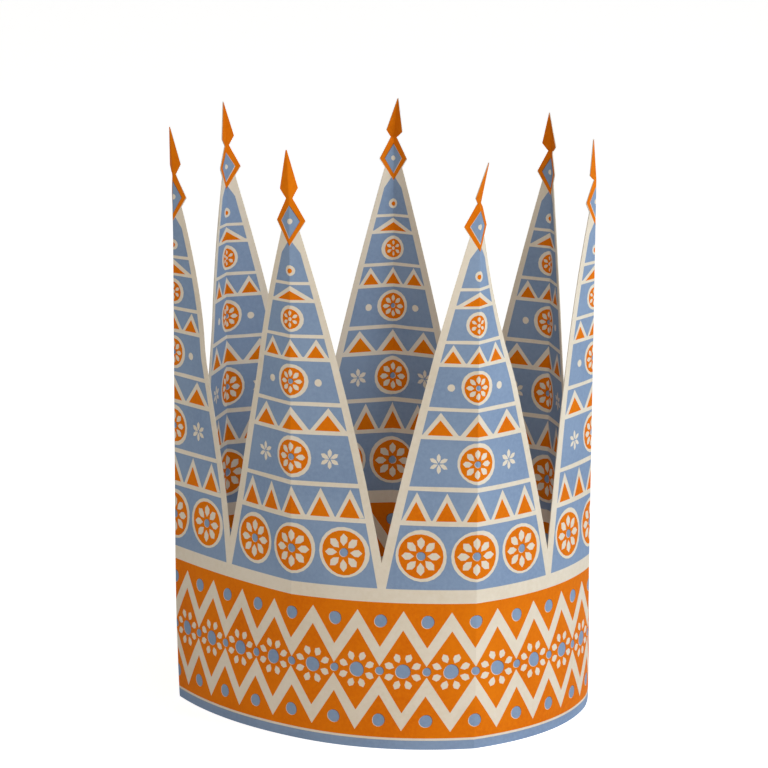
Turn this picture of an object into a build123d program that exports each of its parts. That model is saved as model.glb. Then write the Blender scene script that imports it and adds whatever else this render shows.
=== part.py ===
"""Paper crown: one printed sheet of card, cut to seven spires, creased and closed into a ring.

The sheet is seven equal panels side by side. A crease stands between each two panels and runs up the
middle of a spire, so every spire is half on one panel and half on the next. A gap is cut down the middle
of each panel. At the rim a panel bows out between its creases. The bow fades with height, and the upper
part of each spire is flat on both sides of its crease. The two ends of the sheet meet below the foot of
one gap, where a tab on the inside is glued across the joint.
"""

import os
from math import cos, hypot, radians, sin, sqrt

from build123d import *

os.makedirs("parts", exist_ok=True)

# The sheet, in millimetres
card = 0.4  # thickness of the card
panel_width = 84.0  # from crease to crease, measured along the card
gap_foot = 84.0  # from the rim to the foot of each gap

# The ring as it stands: the first panel's direction in plan, and the turn at each of the next four creases.
# The last two panels close the ring between the ends of the other five.
first_direction = -49.5
crease_turns = (39.0, 61.5, 50.0, 50.5)
rim_bow = 7.5  # how far a panel bows out between its creases at the rim
fade = 46.0  # from the foot of a gap up to where the bow is gone

# One half of a spire: the rise of each part of its cut edge, and the half width at the top of that part
spire_rise = 147.0  # the long edge, from the foot of the gap to the shoulder
spire_width = 4.6
edge_swell = 1.6  # how far the long edge swells out from a straight line
diamond_rise = 4.2
diamond_width = 6.8
neck_rise = 10.3
neck_width = 1.55
head_rise = 4.3
head_width = 3.8
tip_rise = 17.2
tip_width = 0.4

# The glued joint
joint_panel = 4  # the panel, counted from 0, with the joint down its middle
joint_gap = 0.4  # between the two ends of the sheet
tab_width = 14.0
tab_root = 3.0  # how far the tab starts back from the joint
tab_bevel = 6.0  # slope of the tab's top and bottom edges
tab_margin = 3.0  # from the tab to the rim and to the foot of the gap

shoulder_height = gap_foot + spire_rise
diamond_height = shoulder_height + diamond_rise
neck_height = diamond_height + neck_rise
head_height = neck_height + head_rise
tip_height = head_height + tip_rise
cut_margin = 4.5  # how far each cutter stands clear of the card
cut_reach = rim_bow + cut_margin


def crease_points(chord):
    """Where the creases stand in plan, counter-clockwise, about the middle of the ring."""
    direction = first_direction
    points = [Vector(0, 0)]
    for turn in (0.0, *crease_turns):
        direction += turn
        points.append(points[-1] + Vector(chord * cos(radians(direction)), chord * sin(radians(direction))))
    opening = points[0] - points[-1]
    apex = sqrt(chord**2 - (opening.length / 2) ** 2)
    points.append((points[0] + points[-1]) / 2 + Vector(opening.Y, -opening.X).normalized() * apex)
    low = Vector(min(p.X for p in points), min(p.Y for p in points))
    high = Vector(max(p.X for p in points), max(p.Y for p in points))
    return [p - (low + high) / 2 for p in points]


def panels(chord):
    """The two creases of each panel, in plan."""
    points = crease_points(chord)
    return list(zip(points, points[1:] + points[:1]))


def outward(start, end):
    """The direction that a panel faces, in plan."""
    return Vector(end.Y - start.Y, start.X - end.X).normalized()


def ring(height, bow, depth):
    """The ring's outline at one height, a depth inside the printed face.

    A bowed panel is an arc. Its creases stand nearer together, because the card is no longer for it.
    """
    chord = panel_width - 8 * bow**2 / (3 * panel_width)
    with BuildSketch(Plane.XY.offset(height)) as section:
        with BuildLine():
            for start, end in panels(chord):
                if bow:
                    ThreePointArc(start, (start + end) / 2 + outward(start, end) * bow, end)
                else:
                    Line(start, end)
        make_face()
        if depth:
            offset(amount=-depth, kind=Kind.INTERSECTION, mode=Mode.REPLACE)
    return section.sketch


def rings(depth):
    """The outlines from the rim to the tips, a depth inside the printed face."""
    return [ring(0.0, rim_bow, depth), ring(gap_foot + fade, 0.0, depth), ring(tip_height, 0.0, depth)]


def panel_plane(index):
    """A plane across a panel's creases, with X along the panel from its middle, and Y up from the rim."""
    start, end = panels(panel_width)[index]
    return Plane(origin=(start + end) / 2, x_dir=end - start, z_dir=outward(start, end))


# The ring of card, with a gap cut down the middle of each panel and the joint below one of them
half_panel = panel_width / 2
edge_run = half_panel - spire_width
edge_length = hypot(edge_run, spire_rise)
edge_middle = (
    edge_run / 2 - edge_swell * spire_rise / edge_length,
    gap_foot + spire_rise / 2 + edge_swell * edge_run / edge_length,
)

with BuildPart() as crown_sheet:
    loft(rings(0.0), ruled=True)
    loft(rings(card), ruled=True, mode=Mode.SUBTRACT)
    for index in range(len(panels(panel_width))):
        with BuildSketch(panel_plane(index)):
            with BuildLine():
                ThreePointArc((0, gap_foot), edge_middle, (edge_run, shoulder_height))
                Polyline(
                    (edge_run, shoulder_height),
                    (half_panel - diamond_width, diamond_height),
                    (half_panel - neck_width, neck_height),
                    (half_panel - head_width, head_height),
                    (half_panel - tip_width, tip_height),
                    (half_panel - tip_width, tip_height + cut_margin),
                    (0, tip_height + cut_margin),
                )
                mirror(about=Plane.YZ)
            make_face()
        extrude(amount=cut_reach, both=True, mode=Mode.SUBTRACT)
    with BuildSketch(panel_plane(joint_panel)):
        with Locations((0, gap_foot / 2)):
            Rectangle(joint_gap, gap_foot + 2 * cut_margin)
    extrude(amount=cut_reach, both=True, mode=Mode.SUBTRACT)

# The tab is one more thickness of card inside the wall, across the joint
with BuildPart() as glue_tab:
    loft(rings(card), ruled=True)
    loft(rings(2 * card), ruled=True, mode=Mode.SUBTRACT)
    with BuildSketch(panel_plane(joint_panel)):
        with BuildLine():
            Polyline(
                (-tab_root, tab_margin),
                (tab_width - tab_bevel, tab_margin),
                (tab_width, tab_margin + tab_bevel),
                (tab_width, gap_foot - tab_margin - tab_bevel),
                (tab_width - tab_bevel, gap_foot - tab_margin),
                (-tab_root, gap_foot - tab_margin),
                close=True,
            )
        make_face()
    extrude(amount=cut_reach, both=True, mode=Mode.INTERSECT)

with crown_sheet:
    add(glue_tab.part)

crown_sheet.part.label = "crown_sheet"
export_step(crown_sheet.part, "parts/crown_sheet.step")
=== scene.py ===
import math
import random

import bpy
import numpy as np
from mathutils import Matrix, Vector
from mathutils.geometry import delaunay_2d_cdt


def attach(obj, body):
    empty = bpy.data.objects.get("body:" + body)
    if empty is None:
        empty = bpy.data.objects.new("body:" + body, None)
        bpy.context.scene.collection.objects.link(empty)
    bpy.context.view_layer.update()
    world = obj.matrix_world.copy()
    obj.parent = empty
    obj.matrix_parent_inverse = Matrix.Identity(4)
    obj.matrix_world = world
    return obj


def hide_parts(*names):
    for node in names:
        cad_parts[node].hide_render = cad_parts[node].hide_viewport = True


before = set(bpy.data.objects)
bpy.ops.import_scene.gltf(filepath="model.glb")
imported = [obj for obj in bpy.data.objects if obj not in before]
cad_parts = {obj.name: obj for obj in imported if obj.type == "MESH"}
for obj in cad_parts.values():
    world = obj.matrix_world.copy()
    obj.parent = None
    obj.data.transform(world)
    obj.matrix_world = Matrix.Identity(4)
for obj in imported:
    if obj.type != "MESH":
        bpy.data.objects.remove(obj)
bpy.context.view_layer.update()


# --- The ring ---------------------------------------------------------------------------------------------
# The crown is one sheet of thin card, seven panels side by side, with a crease between each two panels.
# Its ends meet in a glued joint, and the card springs out into a ring that stands on its own rim: round at
# the rim, and folded at the creases higher up. Every size here is in millimetres.

MM = 0.001
CARD = 0.4
PANEL = 84.0
SPIRES = 7
FIRST_DIRECTION = -49.5
CREASE_TURNS = (39.0, 61.5, 50.0, 50.5)
RIM_BOW = (5.3, 9.3, 9.6, 8.0, 8.0, 8.0, 7.0)  # how far each panel bows out at the rim
BOW_TOP = (117.0, 159.0, 245.0, 150.0, 150.0, 150.0, 130.0)  # the height at which that bow is gone
RIM_SHIFT = (  # how far the foot of each crease has moved from the plan
    (1.6, 0.0), (-0.7, 0.5), (-0.4, -1.0), (-0.6, 0.5), (0, 0), (0, 0), (0, 0)
)
SHIFT_TOP = 70.0  # the height at which that shift is gone
SPIRE_LEAN = (  # how far the tip of each spire leans
    (0.3, -1.8), (-0.5, -1.3), (0.7, 1.3), (1.2, 2.0), (0, -1.0), (0.2, 0.2), (0.5, 0.7)
)
LEAN_MIDDLE = 100.8  # the height at which the creases stand on the plan
SPIRE_TWIST = (22, 10, 18, 0, 0, 0, -6)  # how far each tip turns on its crease, in degrees
TWIST_FOOT = 165.0  # the height at which that twist starts


def ring_plan():
    """Where the creases stand, counter-clockwise. The last two panels close the ring."""
    heading = FIRST_DIRECTION
    spots = [np.zeros(2)]
    for turn in (0.0, *CREASE_TURNS):
        heading += turn
        step = np.array([math.cos(math.radians(heading)), math.sin(math.radians(heading))])
        spots.append(spots[-1] + PANEL * step)
    opening = spots[0] - spots[-1]
    outwards = np.array([opening[1], -opening[0]]) / np.linalg.norm(opening)
    spots.append((spots[0] + spots[-1]) / 2 + outwards * math.sqrt(PANEL**2 - opening @ opening / 4))
    spots = np.array(spots)
    return spots - (spots.min(axis=0) + spots.max(axis=0)) / 2


PLAN = ring_plan()


# --- The cut edge -----------------------------------------------------------------------------------------
# A steel-rule die cuts seven spires from the sheet. Each ends in a diamond, a narrow neck and a pointed
# head, and the heads have bent over at their necks in use.

GAP_FOOT = 84.0
SHOULDER = 231.0
SHOULDER_WIDTH = 4.6
EDGE_SWELL = 1.65
DIAMOND = 235.2
DIAMOND_WIDTH = 7.3
NECK = 245.5
NECK_WIDTH = 1.6
HEAD = 249.8
HEAD_WIDTH = 4.3
TIP = 267.0
TIP_WIDTH = 0.3
HEAD_BEND = (  # in degrees: towards the front, towards the right, and twisted
    (-6, -4, 8), (0, -3, 12), (24, 9, 38), (26, -5, 0), (25, -4, 20), (23, 5, 0), (10, -3, 0)
)
NECK_REACH = 1.6  # the bend is spread this far up and down from the neck


def cut_width(height):
    """Half the width of a spire at a height between the foot of the gaps and its shoulder."""
    up = (height - GAP_FOOT) / (SHOULDER - GAP_FOOT)
    return PANEL / 2 - (PANEL / 2 - SHOULDER_WIDTH) * up + 4 * EDGE_SWELL * up * (1 - up)


def spire_outline():
    """The cut edge of one spire and the band below it, counter-clockwise from the foot of the left side."""
    right = [(PANEL / 2, 0.0), (PANEL / 2, GAP_FOOT)]
    right += [(cut_width(height), height) for height in np.linspace(GAP_FOOT, SHOULDER, 22)[1:]]
    right += [(DIAMOND_WIDTH, DIAMOND), (NECK_WIDTH, NECK), (HEAD_WIDTH, HEAD), (TIP_WIDTH, TIP)]
    return right + [(-across, height) for across, height in reversed(right)]


def crease_foot(spire, height):
    """Where a crease stands at a height, with the slight lean that each spire has taken."""
    low = np.clip(1 - height / SHIFT_TOP, 0, None) ** 2
    lean = (height - LEAN_MIDDLE) / (TIP - LEAN_MIDDLE)
    moved = low[:, None] * np.array(RIM_SHIFT)[spire]
    return PLAN[spire] + moved + lean[:, None] * np.array(SPIRE_LEAN)[spire]


def unbent(spire, across, height):
    """Points of the printed face in the ring, before the heads bend."""
    on_right = across >= 0
    start_spire = np.where(on_right, spire, (spire - 1) % SPIRES)
    end_spire = (start_spire + 1) % SPIRES
    start = crease_foot(start_spire, height)
    end = crease_foot(end_spire, height)
    along = np.where(on_right, across, PANEL + across) / PANEL
    run = end - start
    outwards = np.stack([run[:, 1], -run[:, 0]], axis=1) / np.linalg.norm(run, axis=1)[:, None]
    bow_top = np.array(BOW_TOP)[start_spire]
    bow = np.array(RIM_BOW)[start_spire] * np.clip(1 - (height / bow_top) ** 2, 0, None) ** 2
    plan = start + run * along[:, None] + outwards * (4 * bow * along * (1 - along))[:, None]
    share = np.clip((height - TWIST_FOOT) / (TIP - TWIST_FOOT), 0, 1)
    twist = math.radians(SPIRE_TWIST[spire]) * share * (2 - share)
    crease = crease_foot(spire, height)
    x, y = (plan - crease).T
    turned_x = x * np.cos(twist) - y * np.sin(twist)
    turned_y = x * np.sin(twist) + y * np.cos(twist)
    return np.column_stack([crease + np.column_stack([turned_x, turned_y]), height])


def on_ring(spire, across, height):
    """Points of the printed face as the crown stands, with its heads bent at their necks."""
    points = unbent(spire, across, height)
    share = np.clip((height - NECK + NECK_REACH) / (2 * NECK_REACH), 0, 1)
    share = share * share * (3 - 2 * share)
    pivot = unbent(spire, np.array([0.0]), np.array([NECK]))[0]
    front, right, twist = (math.radians(angle) for angle in HEAD_BEND[spire])
    for i in np.nonzero(share)[0]:
        turn = (
            Matrix.Rotation(front * share[i], 3, "X")
            @ Matrix.Rotation(right * share[i], 3, "Y")
            @ Matrix.Rotation(twist * share[i], 3, "Z")
        )
        points[i] = pivot + np.array(turn @ Vector(points[i] - pivot))
    return points


def faced(spire, across, height):
    """Points of the printed face, which way the card faces there, and how far a corner stretches its depth.

    On a crease the card faces midway between its two panels.
    """
    points = on_ring(spire, across, height)
    reach = 0.05  # far enough to feel the slope of the card
    rise = (on_ring(spire, across, height + reach) - points) / reach
    facing = np.zeros_like(points)
    for side in (-1, 1):
        here = (across * side > 0) | (across == 0)
        beside = on_ring(spire, np.where(across == 0, 1e-6 * side, across) + reach * side, height)
        normal = np.cross((beside - points) * side, rise)
        facing[here] += (normal / np.linalg.norm(normal, axis=1)[:, None])[here]
    length = np.linalg.norm(facing, axis=1)
    facing /= length[:, None]
    mitre = np.where(across == 0, 2 / length, 1.0)
    return points, facing, mitre


# --- The print --------------------------------------------------------------------------------------------
# Two flat inks, orange and blue, on cream card, and the bare card between them draws the lines. The shapes
# are cut by hand, so none is quite true. The blue plate sits a little off the orange one, which leaves a thin
# dark line where the inks meet and a thin pale one on the far side.

HAND = random.Random(7)
HEM = 4.0
BAND = (5.2, 66.4)
STRIP_TOP = 72.4
BORDER = 4.3  # bare card left along the cut edge of a spire
artwork = []  # shapes in the order they are laid down: ink, outline


def lay(ink, outline):
    """Lays a shape over those before it. Bare lets the card show through both plates."""
    artwork.append((ink, outline))


def by_hand(outline, slip):
    """An outline as a hand cuts it. Points at the middle of a panel stay, to meet the next spire's part."""
    cut = []
    for across, height in outline:
        if abs(across) < PANEL / 2 - 1:
            across += HAND.uniform(-slip, slip)
            height += HAND.uniform(-slip, slip)
        cut.append((across, height))
    return cut


def disc(across, height, radius, sides, slip=0.03):
    """A disc as a hand cuts it, a little out of round."""
    first = HAND.uniform(0, 2 * math.pi)
    second = HAND.uniform(0, 2 * math.pi)
    outline = []
    for side in range(sides):
        angle = 2 * math.pi * side / sides
        reach = radius * (1 + slip * math.sin(2 * angle + first) + 0.6 * slip * math.sin(3 * angle + second))
        outline.append((across + reach * math.cos(angle), height + reach * math.sin(angle)))
    return outline


def petals(ink, across, height, count, near, far, width, turn):
    """A ring of pointed petals round a centre."""
    for petal in range(count):
        angle = turn + 2 * math.pi * petal / count
        cos, sin = math.cos(angle), math.sin(angle)
        outline = []
        for along, beside in ((0, 0), (0.35, -0.42), (0.7, -0.45), (1, 0), (0.7, 0.45), (0.35, 0.42)):
            reach = near + (far - near) * along
            off = beside * width
            outline.append((across + reach * cos - off * sin, height + reach * sin + off * cos))
        lay(ink, by_hand(outline, 0.12))


def block(left, bottom, right, top):
    """A plain rectangle."""
    return [(left, bottom), (right, bottom), (right, top), (left, top)]


def zigzag(low, high, thickness, pitch):
    """A zigzag line past both sides of a spire's part, with high points at the crease and one pitch apart."""
    steep = math.hypot(pitch / 2, high - low) / (pitch / 2) * thickness / 2
    middle = [(pitch / 2 * turn, high if turn % 2 == 0 else low) for turn in range(-5, 6)]
    upper = [(across, height + steep) for across, height in middle]
    lower = [(across, height - steep) for across, height in reversed(middle)]
    return upper + lower


# The band: a hem stripe at the rim, then two facing zigzags with flowers between them
lay("blue", block(-PANEL, -5, PANEL, HEM))
lay("orange", block(-PANEL, BAND[0], PANEL, BAND[1]))
ZIG_PITCH = PANEL / 4
for low, high in ((12.5, 29.0), (58.5, 42.0)):
    lay("bare", by_hand(zigzag(low, high, 4.6, ZIG_PITCH), 0.3))
MID_BAND = 35.5
for step in (-1, 0, 1, 2):
    for height, radius in ((13.0, 2.9), (MID_BAND, 1.9), (58.0, 2.9)):
        dot = disc(0, height, radius, 14)
        for place in (-2, 2) if step == 2 else (step,):  # one midway between two spires has half on each
            lay("blue", [(x + place * ZIG_PITCH, z) for x, z in dot])
for step in (-1.5, -0.5, 0.5, 1.5):
    petals("bare", step * ZIG_PITCH, MID_BAND, 8, 4.3, 8.7, 3.3, math.pi / 8)
    lay("blue", disc(step * ZIG_PITCH, MID_BAND, 3.3, 16))


def field_width(height):
    """Half the width of a spire's blue field. Its border of bare card narrows upwards."""
    return cut_width(height) - BORDER * (1 - 0.35 * (height - STRIP_TOP) / (SHOULDER - STRIP_TOP))


# The field of each spire
field = [(field_width(height), height) for height in np.linspace(STRIP_TOP, 221, 14)] + [(1.0, 226.0)]
lay("blue", field + [(-x, z) for x, z in reversed(field)])


def rule(height, thickness):
    """A line of bare card across a spire, into its borders."""
    half = field_width(height) + 1.5
    bottom = [(half * share, height - thickness / 2) for share in (-1, -0.35, 0.35, 1)]
    top = [(half * share, height + thickness / 2) for share in (1, 0.35, -0.35, -1)]
    lay("bare", by_hand(bottom + top, 0.15))


def medallion(across, height, radius, count):
    """An orange disc in a ring of bare card, with a ring of petals in it."""
    lay("bare", disc(across, height, radius + 1.5, int(14 + radius), 0.02))
    lay("orange", disc(across, height, radius, int(14 + radius), 0.02))
    petals("bare", across, height, count, radius * 0.30, radius * 0.86, radius * 0.36, math.pi / 2)
    lay("blue" if radius > 5 else "bare", disc(across, height, radius * 0.2, 10))


def teeth(bottom, top, count):
    """A row of triangles that fills a spire from side to side, orange with an edge of bare card."""
    half = field_width(bottom)
    pitch = 2 * half / count
    for tooth in range(count):
        left = -half + pitch * tooth
        inner_peak = bottom + 0.68 * (top - bottom)
        for ink, inset, peak in (("bare", 0.2, top), ("orange", 0.16 * pitch, inner_peak)):
            outline = [(left + inset, bottom), (left + pitch - inset, bottom), (left + pitch / 2, peak)]
            held = [(np.clip(x, -field_width(z), field_width(z)), z) for x, z in outline]
            lay(ink, by_hand(held, 0.1))


# The tiers of a spire, from the foot up
for across in (-24.6, 0, 24.6):
    medallion(across, 87.6, 10.0, 8)
rule(102.2, 2.3)
teeth(103.3, 116.0, 5)
rule(117.6, 2.0)
medallion(0, 129.3, 7.9, 8)
for side in (-1, 1):
    petals("bare", side * 17.6, 129.0, 6, 0.4, 4.6, 2.0, math.pi / 2)
rule(140.8, 2.0)
teeth(141.7, 152.0, 3)
rule(153.4, 1.8)
medallion(0, 163.6, 6.4, 8)
for side in (-1, 1):
    lay("bare", disc(side * 12.4, 163.2, 1.7, 10))
rule(173.6, 1.8)
teeth(174.4, 182.6, 3)
rule(183.8, 1.6)
medallion(0, 191.6, 4.5, 6)
rule(199.6, 1.5)
teeth(200.2, 206.4, 1)
rule(207.4, 1.4)
lay("bare", disc(0, 213.2, 2.4, 12))
lay("orange", disc(0, 213.2, 1.2, 8))

# The diamond and the head above it are orange, and the diamond has a blue middle
lay("orange", [(0, 224.2), (9, 238.5), (9, 275), (-9, 275), (-9, 238.5)])
lay("blue", by_hand([(0, 227.6), (4.6, 235.3), (0, 242.3), (-4.6, 235.3)], 0.1))
lay("bare", disc(0, 235.1, 1.3, 10))


# --- The inks and the card --------------------------------------------------------------------------------
# Uncoated 300 g card, cream, printed with flat water-based inks that sink in and dry quite matt. The inks
# lie a little unevenly over the fibres.

def linear(code):
    """An sRGB hex colour as the linear numbers that a shader takes."""
    parts = [int(code[i : i + 2], 16) / 255 for i in (0, 2, 4)]
    return (*(c / 12.92 if c <= 0.04045 else ((c + 0.055) / 1.055) ** 2.4 for c in parts), 1.0)


def node(material, kind, settings, links):
    """Adds a node. Settings are attributes, or values by socket. Links give the output for each input."""
    made = material.node_tree.nodes.new(kind)
    for name, value in settings.items():
        if isinstance(name, str) and hasattr(made, name):
            setattr(made, name, value)
        else:
            made.inputs[name].default_value = value
    for name, output in links.items():
        material.node_tree.links.new(output, made.inputs[name])
    return made


def card_surface(name, colour, deeper, mottle_size, roughness):
    """A face of the card. The colour drifts to a deeper one in a mottle of that many millimetres."""
    material = bpy.data.materials.new(name)
    material.use_nodes = True
    material.node_tree.nodes.clear()
    place = node(material, "ShaderNodeTexCoord", {}, {}).outputs["Object"]
    mottle = node(material, "ShaderNodeTexNoise",
                  {"Scale": 1 / (mottle_size * MM), "Detail": 3.0, "Roughness": 0.6}, {"Vector": place})
    cloud = node(material, "ShaderNodeTexNoise", {"Scale": 1 / (30 * MM), "Detail": 2.0}, {"Vector": place})
    both = node(material, "ShaderNodeMath", {"operation": "MULTIPLY"},
                {0: mottle.outputs["Fac"], 1: cloud.outputs["Fac"]})
    share = node(material, "ShaderNodeMapRange", {"From Min": 0.12, "From Max": 0.42},
                 {"Value": both.outputs[0]})
    mixed = node(material, "ShaderNodeMix", {"data_type": "RGBA", 6: linear(colour), 7: linear(deeper)},
                 {0: share.outputs[0]})
    # Paper fibres are under 0.1 mm wide. They are drawn at 0.9 mm, so that they show at all.
    fibre = node(material, "ShaderNodeTexNoise", {"Scale": 1 / (0.9 * MM), "Detail": 4.0, "Roughness": 0.65},
                 {"Vector": place})
    bump = node(material, "ShaderNodeBump", {"Strength": 0.25, "Distance": 0.06 * MM},
                {"Height": fibre.outputs["Fac"]})
    rough = node(material, "ShaderNodeMapRange",
                 {"To Min": roughness - 0.05, "To Max": roughness + 0.05}, {"Value": fibre.outputs["Fac"]})
    shader = node(material, "ShaderNodeBsdfPrincipled", {"IOR": 1.45, "Specular IOR Level": 0.12},
                  {"Base Color": mixed.outputs[2], "Roughness": rough.outputs[0], "Normal": bump.outputs[0]})
    node(material, "ShaderNodeOutputMaterial", {}, {"Surface": shader.outputs[0]})
    return material


# Bare uncoated card: warm white and soft, with hardly any sheen
bare_card = card_surface("uncoated_cream_card", "E4DFD2", "DCD5C4", 2.5, 0.8)
# Screen-printed inks: flat fields, a little closer than the card, and faintly uneven where they sank in
orange_ink = card_surface("matt_orange_ink", "E27C02", "D66C00", 1.6, 0.72)
blue_ink = card_surface("matt_blue_ink", "88A1C2", "7C95B8", 1.6, 0.72)
# Blue ink over orange: the two mix to a dull brown that draws a thin dark line
overprint = card_surface("blue_over_orange_ink", "6E5238", "624A33", 1.6, 0.72)
# The core of the card where the die cut it: pale and rough
cut_card = card_surface("cut_card_edge", "DDD8CC", "CFC8B8", 0.8, 0.9)
INKS = {"bare": 0, "orange": 1, "blue": 2, "both": 3, "edge": 4}


# --- The sheet as it is printed, cut and stood up -----------------------------------------------------------
# The flat shapes are cut into one mesh of triangles, so that every ink is its own field of faces. The same
# mesh stands seven times round the ring, with the printed face outside, the other one inside, and the cut
# thickness of the card between them. Both faces carry the print.

BLUE_PLATE_OFF = (0.22, 0.16)  # across and up
CREASE_ROUND = 0.35  # half the width over which a crease turns
JOINT_SPIRE = 4  # the joint is between this spire and the next one
JOINT_GAP = 0.4


def inside(points, outline):
    """Which points lie inside an outline."""
    x, z = points[:, 0], points[:, 1]
    result = np.zeros(len(points), bool)
    ring = np.asarray(outline, float)
    for (x0, z0), (x1, z1) in zip(ring, np.roll(ring, -1, axis=0)):
        if z0 == z1:
            continue
        crosses = (z0 > z) != (z1 > z)
        result ^= crosses & (x < (x1 - x0) * (z - z0) / (z1 - z0) + x0)
    return result


def top_ink(points):
    """The ink that the artwork leaves on top at each point."""
    ink = np.zeros(len(points), int)
    for name, outline in artwork:
        ink[inside(points, outline)] = INKS[name]
    return ink


def flat_sheet():
    """One spire's share of the sheet: flat points, triangles, and the ink on each triangle."""
    outline = spire_outline()
    loops = [outline]
    for _, shape in artwork:
        loops.append(shape)
        loops.append([(x + BLUE_PLATE_OFF[0], z + BLUE_PLATE_OFF[1]) for x, z in shape])
    points, edges = [], []
    for loop in loops:
        first = len(points)
        points += loop
        edges += [(first + i, first + (i + 1) % len(loop)) for i in range(len(loop))]
    half = PANEL / 2
    # Lines that cut the faces where the card curves or bends
    lines = [((x, -1), (x, TIP + 1)) for x in (-CREASE_ROUND, 0, CREASE_ROUND)]
    lines += [((x, -1), (x, 170)) for x in np.linspace(-half, half, 21) if abs(x) > 0.1]
    lines += [((-half - 1, z), (half + 1, z)) for z in np.linspace(12, 240, 20)]
    lines += [((-3, z), (3, z)) for z in np.linspace(NECK - NECK_REACH, NECK + NECK_REACH, 7)]
    for start, end in lines:
        edges.append((len(points), len(points) + 1))
        points += [start, end]
    cut = delaunay_2d_cdt([Vector(p) for p in points], edges, [], 0, 1e-4)
    flat = np.array([tuple(p) for p in cut[0]])
    flat[np.abs(flat[:, 0]) < 1e-4, 0] = 0
    faces = np.array([tuple(f) for f in cut[2]])
    a, b, c = (flat[faces[:, i]] for i in range(3))
    area = (b[:, 0] - a[:, 0]) * (c[:, 1] - a[:, 1]) - (b[:, 1] - a[:, 1]) * (c[:, 0] - a[:, 0])
    middle = (a + b + c) / 3
    kept = inside(middle, outline) & (np.abs(area) > 1e-7)
    faces, middle, area = faces[kept], middle[kept], area[kept]
    faces[area < 0] = faces[area < 0][:, ::-1]
    orange = top_ink(middle) == INKS["orange"]
    blue = top_ink(middle - np.array(BLUE_PLATE_OFF)) == INKS["blue"]
    ink = np.where(orange, INKS["orange"], np.where(blue, INKS["blue"], INKS["bare"]))
    ink[orange & blue] = INKS["both"]
    used, faces = np.unique(faces, return_inverse=True)
    return flat[used], faces.reshape(-1, 3), ink


flat, faces, ink = flat_sheet()
users = {}
for face in faces:
    for a, b in zip(face, np.roll(face, -1)):
        users.setdefault((min(a, b), max(a, b)), []).append((a, b))
outer_edges = [uses[0] for uses in users.values() if len(uses) == 1]

vertices, polygons, inks, normals, places = [], [], [], [], []
NET_SIDE = 2.0  # room at each end of the net
NET_FOOT = 2.5  # room under each face on the net
NET_ROW = TIP + 2 * NET_FOOT
NET_EDGE = 1.2  # the width that the cut edge gets on the net


def net(spire, across, height, side):
    """Where a point lies on the flat net of both faces, laid out from the joint, for the baked maps."""
    share = (spire - JOINT_SPIRE - 1) % SPIRES
    u = (share * PANEL + PANEL / 2 + across + NET_SIDE) / (SPIRES * PANEL + 2 * NET_SIDE)
    v = (height + NET_FOOT + side * NET_ROW) / (2 * NET_ROW)
    return u, v


for spire in range(SPIRES):
    across = flat[:, 0].copy()
    ends = {JOINT_SPIRE: 1, JOINT_SPIRE + 1: -1}.get(spire, 0)  # which side of this spire is at the joint
    if ends:
        across[across * ends > PANEL / 2 - 1e-3] -= ends * JOINT_GAP / 2
    outer, facing, mitre = faced(spire, across, flat[:, 1])
    inner = outer - facing * (CARD * mitre)[:, None]
    first = sum(len(v) for v in vertices)
    vertices += [outer, inner]
    for side, shift, sign in ((0, first, 1), (1, first + len(flat), -1)):
        for face, face_ink in zip(faces[:, ::sign], ink):
            polygons.append([shift + v for v in face])
            inks.append(face_ink)
            normals += [tuple(sign * facing[v]) for v in face]
            places += [net(spire, across[v], flat[v, 1], side) for v in face]
    for a, b in outer_edges:
        shared = abs(flat[a, 0]) > PANEL / 2 - 1e-3 and abs(flat[b, 0]) > PANEL / 2 - 1e-3
        if shared and flat[a, 0] * ends <= 0:
            continue
        polygons.append([first + b, first + a, first + len(flat) + a, first + len(flat) + b])
        inks.append(INKS["edge"])
        normals += [(0, 0, 0)] * 4
        run = flat[b] - flat[a]
        off = NET_EDGE * np.array([run[1], -run[0]]) / max(np.linalg.norm(run), 1e-9)
        corners = (flat[b], flat[a], flat[a] + off, flat[b] + off)
        places += [net(spire, p[0], p[1], 0) for p in corners]

# The glue tab runs on from one end of the sheet and is stuck inside the other end
TAB = (3.0, 14.0)  # from the joint, back and on
TAB_MARGIN = 3.0
TAB_BEVEL = 6.0
stations = np.array([-TAB[0], -1.0, 1.0, 4.0, 7.5, 11.0, TAB[1]])
levels = np.linspace(0, 1, 13)
grid = []
for station in stations:
    slope = max(0, station - (TAB[1] - TAB_BEVEL))
    low, high = TAB_MARGIN + slope, GAP_FOOT - TAB_MARGIN - slope
    spire = JOINT_SPIRE if station < 0 else JOINT_SPIRE + 1
    across = PANEL / 2 + station if station < 0 else station - PANEL / 2
    height = low + (high - low) * levels
    points, facing, _ = faced(spire, np.full(len(levels), across), height)
    grid.append((points, facing, [net(spire, across, z, 1) for z in height]))
first = sum(len(v) for v in vertices)
rows = len(levels)
for depth in (CARD, 2 * CARD):
    for points, facing, _ in grid:
        vertices.append(points - facing * depth)
back = len(grid) * rows
for i in range(len(grid) - 1):
    for j in range(rows - 1):
        corner = [i * rows + j, (i + 1) * rows + j, (i + 1) * rows + j + 1, i * rows + j + 1]
        for shift, order in ((first, corner), (first + back, corner[::-1])):
            polygons.append([shift + v for v in order])
            inks.append(INKS["bare"])
            normals += [(0, 0, 0)] * 4
            places += [grid[v // rows][2][v % rows] for v in order]
loop = [i * rows for i in range(len(grid))] + [(len(grid) - 1) * rows + j for j in range(1, rows)]
loop += [i * rows + rows - 1 for i in reversed(range(len(grid) - 1))]
loop += list(range(rows - 2, 0, -1))
for a, b in zip(loop, loop[1:] + loop[:1]):
    polygons.append([first + b, first + a, first + back + a, first + back + b])
    inks.append(INKS["edge"])
    normals += [(0, 0, 0)] * 4
    places += [grid[v // rows][2][v % rows] for v in (b, a, a, b)]

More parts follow.
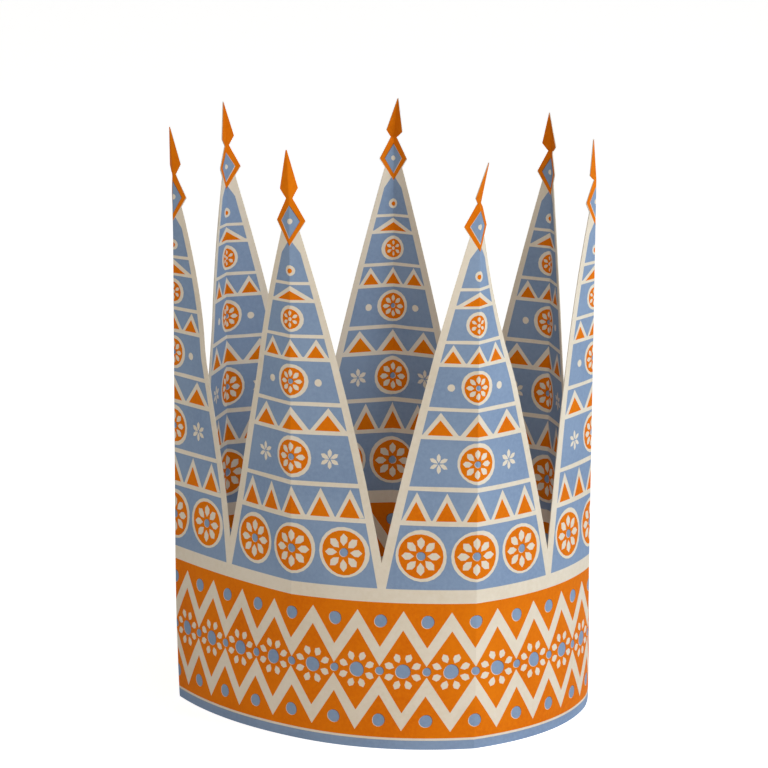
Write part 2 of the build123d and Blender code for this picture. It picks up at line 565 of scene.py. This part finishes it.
mesh = bpy.data.meshes.new("crown_sheet_card")
mesh.from_pydata((np.concatenate(vertices) * MM).tolist(), [], polygons)
for material in (bare_card, orange_ink, blue_ink, overprint, cut_card):
    mesh.materials.append(material)
mesh.polygons.foreach_set("material_index", inks)
layer = mesh.uv_layers.new(name="OFBake")
layer.uv.foreach_set("vector", np.array(places, np.float32).ravel())
mesh.normals_split_custom_set(normals)
mesh.validate()
crown = bpy.data.objects.new("printed_card_sheet", mesh)
bpy.context.collection.objects.link(crown)
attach(crown, "root")
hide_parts("crown_sheet")


# --- The stage ----------------------------------------------------------------------------------------------
# A plain white table top and a white surround. A large soft window light stands on the right, and a weaker
# warm one stands in front, a little to the left.

def seen_straight(owner):
    """One where a ray comes from the camera, or from it by way of a gloss or a clear surface."""
    path = node(owner, "ShaderNodeLightPath", {}, {})
    glossy = node(owner, "ShaderNodeMath", {"operation": "MAXIMUM"},
                  {0: path.outputs["Is Camera Ray"], 1: path.outputs["Is Glossy Ray"]})
    return node(owner, "ShaderNodeMath", {"operation": "MAXIMUM"},
                {0: glossy.outputs[0], 1: path.outputs["Is Transmission Ray"]}).outputs[0]


def stage_surface():
    """White paint, with a glow that keeps the background white and that diffuse light doesn't take up."""
    material = bpy.data.materials.new("white_table_top")
    material.use_nodes = True
    material.node_tree.nodes.clear()
    lift = node(material, "ShaderNodeMath", {"operation": "MULTIPLY", 1: 0.7}, {0: seen_straight(material)})
    shader = node(material, "ShaderNodeBsdfPrincipled",
                  {"Base Color": linear("F4F4F2"), "Roughness": 0.7, "Emission Color": (1, 1, 1, 1)},
                  {"Emission Strength": lift.outputs[0]})
    node(material, "ShaderNodeOutputMaterial", {}, {"Surface": shader.outputs[0]})
    return material


FLOOR = 6.0  # metres from the middle to each side
floor_mesh = bpy.data.meshes.new("table_top")
corners = [(x * FLOOR, y * FLOOR, 0) for x, y in ((-1, -1), (1, -1), (1, 1), (-1, 1))]
floor_mesh.from_pydata(corners, [], [(0, 1, 2, 3)])
floor_mesh.materials.append(stage_surface())
floor = bpy.data.objects.new("table_top", floor_mesh)
bpy.context.collection.objects.link(floor)

world = bpy.data.worlds.new("surround")
bpy.context.scene.world = world
world.use_nodes = True
world.node_tree.nodes.clear()
strength = node(world, "ShaderNodeMapRange", {"To Min": 0.2}, {"Value": seen_straight(world)})
sky = node(world, "ShaderNodeBackground", {"Color": (1, 1, 1, 1)}, {"Strength": strength.outputs[0]})
node(world, "ShaderNodeOutputWorld", {}, {"Surface": sky.outputs[0]})


def soft_light(name, place, target, size, power, colour):
    """A rectangle of light that faces a target."""
    data = bpy.data.lights.new(name, "AREA")
    data.shape = "RECTANGLE"
    data.size, data.size_y = size
    data.energy = power
    data.color = linear(colour)[:3]
    light = bpy.data.objects.new(name, data)
    light.location = place
    light.rotation_euler = (Vector(target) - Vector(place)).to_track_quat("-Z", "Y").to_euler()
    bpy.context.collection.objects.link(light)


MIDDLE = (0.0, 0.0, 0.12)
soft_light("window_right", (1.6, -0.7, 0.8), MIDDLE, (0.9, 0.9), 19.0, "FFFFFF")
soft_light("fill_front", (-0.45, -1.6, 1.05), MIDDLE, (0.9, 0.9), 12.0, "FFEEDC")

camera_data = bpy.data.cameras.new("camera")
camera = bpy.data.objects.new("camera", camera_data)
bpy.context.collection.objects.link(camera)
camera_data.sensor_width = 36.0
camera_data.lens = 203.66
camera_data.clip_end = 50.0
camera.location = (0.00085, -1.9526, 0.5689)
tilt = Matrix.Rotation(math.radians(90 - 12.24), 3, "X")
roll = Matrix.Rotation(math.radians(0.11), 3, "Z")
camera.rotation_euler = (tilt @ roll).to_euler()
bpy.context.scene.camera = camera
bpy.context.scene.view_settings.view_transform = "Standard"
